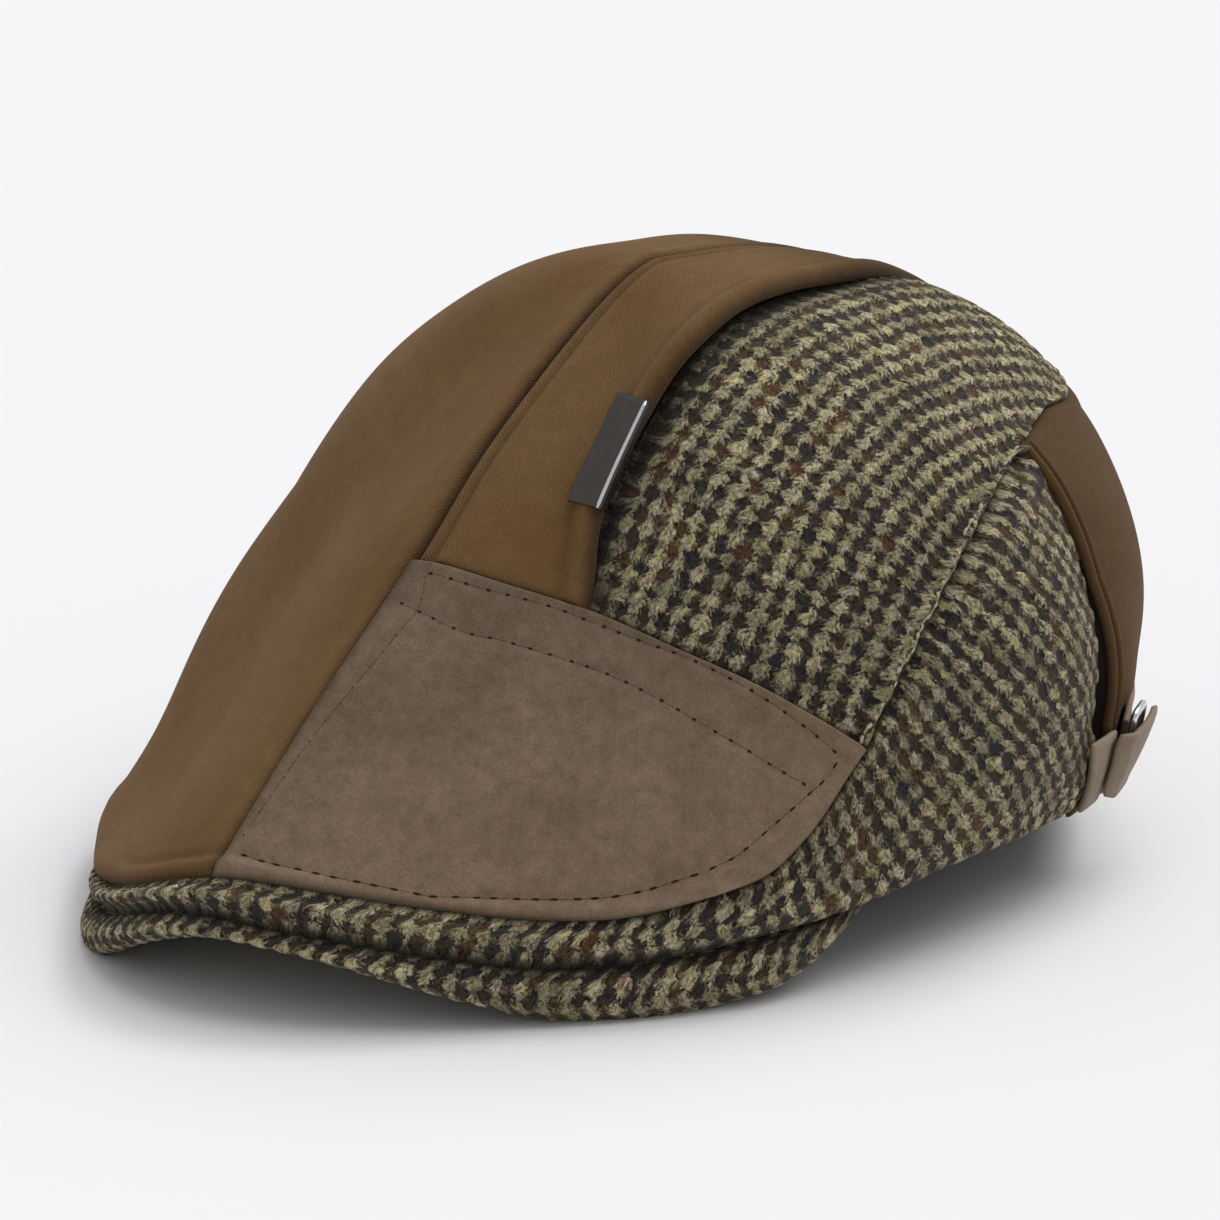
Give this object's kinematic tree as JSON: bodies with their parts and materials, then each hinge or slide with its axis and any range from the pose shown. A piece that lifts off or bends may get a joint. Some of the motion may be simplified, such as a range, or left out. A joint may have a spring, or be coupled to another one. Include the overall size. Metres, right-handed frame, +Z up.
{
  "type": "flat cap",
  "caption": "Patchwork flat cap of brown cloth, tweed and suede with a padded peak, a strap and a buckle at the back.",
  "frame": {"origin": "on the surface the cap rests on, under the middle of its bounding box", "axes": "+Z up, the peak towards -Y, the wearer's left towards +X"},
  "size_m": [0.2046, 0.2672, 0.1364],
  "materials": {
    "brown_cloth": "brushed twill",
    "tweed": "woolly",
    "suede": "napped",
    "leather": "matt",
    "gunmetal": "dark satin",
    "steel": "satin"
  },
  "bodies": {
    "root": {"right_top_panel": "brown_cloth", "centre_strip": "brown_cloth", "back_panel": "brown_cloth", "left_back_piping": "brown_cloth", "right_back_piping": "brown_cloth", "left_top_panel": "tweed", "left_side_panel": "tweed", "right_side_panel": "tweed", "peak": "tweed", "suede_patch": "suede", "left_strap_tab": "leather", "back_strap": "leather", "strap_end": "leather", "label_plate": "gunmetal", "buckle": "steel"}
  },
  "joints": []
}
